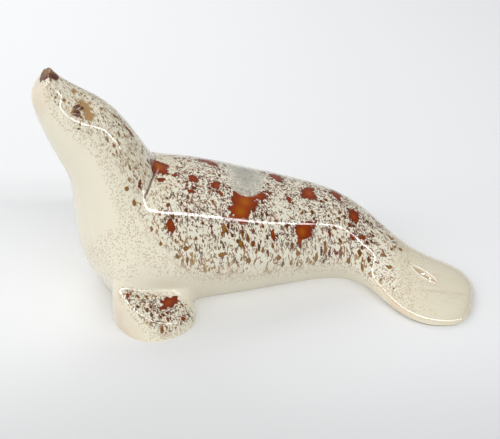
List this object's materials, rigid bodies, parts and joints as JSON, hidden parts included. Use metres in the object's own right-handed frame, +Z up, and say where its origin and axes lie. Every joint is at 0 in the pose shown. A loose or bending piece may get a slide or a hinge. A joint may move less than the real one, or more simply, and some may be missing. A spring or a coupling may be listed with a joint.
{
  "type": "seal figurine",
  "caption": "Hollow glazed pottery seal lying on a flat base with its head raised, flippers spread and tail bent aside, in mottled cream and brown glaze.",
  "frame": {"origin": "middle of the bounding box of the figurine, on the plane that it rests on", "axes": "+Z up, +X towards the tail, -X towards the raised head, -Y to the animal's left"},
  "size_m": [0.2539, 0.1281, 0.1439],
  "materials": {
    "seal_body": "glossy cream glaze, mottled white, brown and rust on the back and head"
  },
  "bodies": {
    "root": {"seal_body": "seal_body"}
  },
  "joints": []
}
